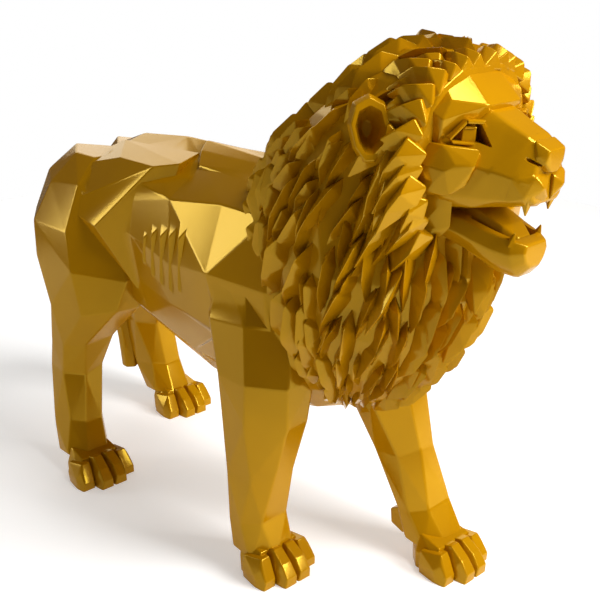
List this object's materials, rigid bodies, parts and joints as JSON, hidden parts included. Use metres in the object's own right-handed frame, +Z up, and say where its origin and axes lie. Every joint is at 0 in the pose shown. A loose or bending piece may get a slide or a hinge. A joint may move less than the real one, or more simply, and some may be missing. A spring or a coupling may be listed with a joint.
{
  "type": "resin lion sculpture",
  "caption": "Standing lion with an open mouth and a long mane, carved in flat facets and cast in one piece, finished in gloss paint.",
  "frame": {"origin": "on the floor under the middle of the bounding box", "axes": "+Z up, -Y the way the lion looks, -X its right side"},
  "size_m": [0.5758, 1.597, 1.2],
  "materials": {
    "gloss_paint": "golden ochre gloss paint over a glass-fibre and resin casting"
  },
  "bodies": {
    "root": {"lion": "gloss_paint"}
  },
  "joints": []
}
